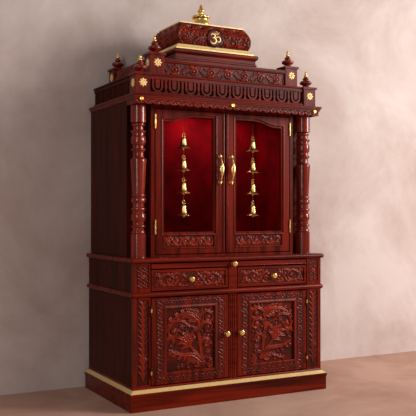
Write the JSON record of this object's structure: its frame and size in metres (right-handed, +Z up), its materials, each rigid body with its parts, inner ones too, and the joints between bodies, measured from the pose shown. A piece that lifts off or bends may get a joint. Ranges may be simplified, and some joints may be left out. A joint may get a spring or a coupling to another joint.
{
  "type": "pooja mandir",
  "caption": "Carved wooden home shrine cupboard: arched doors over a velvet-lined shrine with hanging bells, turned columns, galleried roof and dome, drawers and cupboard below.",
  "frame": {"origin": "on the floor, under the middle of the plinth, on the underside of its middle bearer", "axes": "+X to the right of someone facing the doors, the doors face -Y, +Z up"},
  "size_m": [1.073, 0.612, 1.961],
  "materials": {
    "mahogany": "dark red mahogany stain under glossy lacquer",
    "dark_mahogany": "darker red-brown stained side boards, satin lacquer",
    "brass": "polished brass",
    "gilt": "gilt paint on moulded wood",
    "velvet": "deep red velvet glued to the boards"
  },
  "bodies": {
    "root": {"pilaster_left": "mahogany", "pilaster_right": "mahogany", "face_frame": "mahogany", "waist_board": "mahogany", "column_left": "mahogany", "column_right": "mahogany", "cornice": "mahogany", "cornice_frieze": "mahogany", "posts": "mahogany", "gallery_front": "mahogany", "finials": "mahogany", "upper_tier": "mahogany", "dome_base": "mahogany", "dome": "mahogany", "plinth": "mahogany", "cupboard_floor": "mahogany", "shrine_front_frame": "mahogany", "cupboard_side_left": "dark_mahogany", "cupboard_side_right": "dark_mahogany", "cupboard_back": "dark_mahogany", "drawer_deck": "dark_mahogany", "shrine_side_left": "dark_mahogany", "shrine_side_right": "dark_mahogany", "shrine_back": "dark_mahogany", "gallery_sides": "dark_mahogany", "roof_deck": "dark_mahogany", "bell_strands": "brass", "brass_finials": "brass", "hinge_pins": "brass", "gilt_bands": "gilt", "velvet_lining": "velvet"},
    "shrine_door_left": {"shrine_door_left": "mahogany", "door_pull_left": "brass"},
    "shrine_door_right": {"shrine_door_right": "mahogany", "door_pull_right": "brass"},
    "cupboard_door_left": {"cupboard_door_left": "mahogany", "cupboard_knob_left": "brass"},
    "cupboard_door_right": {"cupboard_door_right": "mahogany", "cupboard_knob_right": "brass"},
    "drawer_left": {"drawer_left": "mahogany", "drawer_knob_left": "brass"},
    "drawer_right": {"drawer_right": "mahogany", "drawer_knob_right": "brass"},
    "tray": {"tray": "mahogany", "tray_knob": "brass"}
  },
  "joints": [
    {"name": "shrine_door_left_hinge", "type": "hinge", "parent": "root", "child": "shrine_door_left", "pos_m": [-0.374, -0.212, 1.0355], "axis": [0, 0, -1], "range_deg": [0, 110]},
    {"name": "cupboard_door_left_hinge", "type": "hinge", "parent": "root", "child": "cupboard_door_left", "pos_m": [-0.427, -0.286, 0.3055], "axis": [0, 0, -1], "range_deg": [0, 110]},
    {"name": "drawer_left_slide", "type": "slide", "parent": "root", "child": "drawer_left", "axis": [0, -1, 0], "range_m": [0, 0.36]},
    {"name": "shrine_door_right_hinge", "type": "hinge", "parent": "root", "child": "shrine_door_right", "pos_m": [0.374, -0.212, 1.0355], "axis": [0, 0, 1], "range_deg": [0, 110]},
    {"name": "cupboard_door_right_hinge", "type": "hinge", "parent": "root", "child": "cupboard_door_right", "pos_m": [0.427, -0.286, 0.3055], "axis": [0, 0, 1], "range_deg": [0, 110]},
    {"name": "drawer_right_slide", "type": "slide", "parent": "root", "child": "drawer_right", "axis": [0, -1, 0], "range_m": [0, 0.36]},
    {"name": "tray_slide", "type": "slide", "parent": "root", "child": "tray", "axis": [0, -1, 0], "range_m": [0, 0.34]}
  ]
}
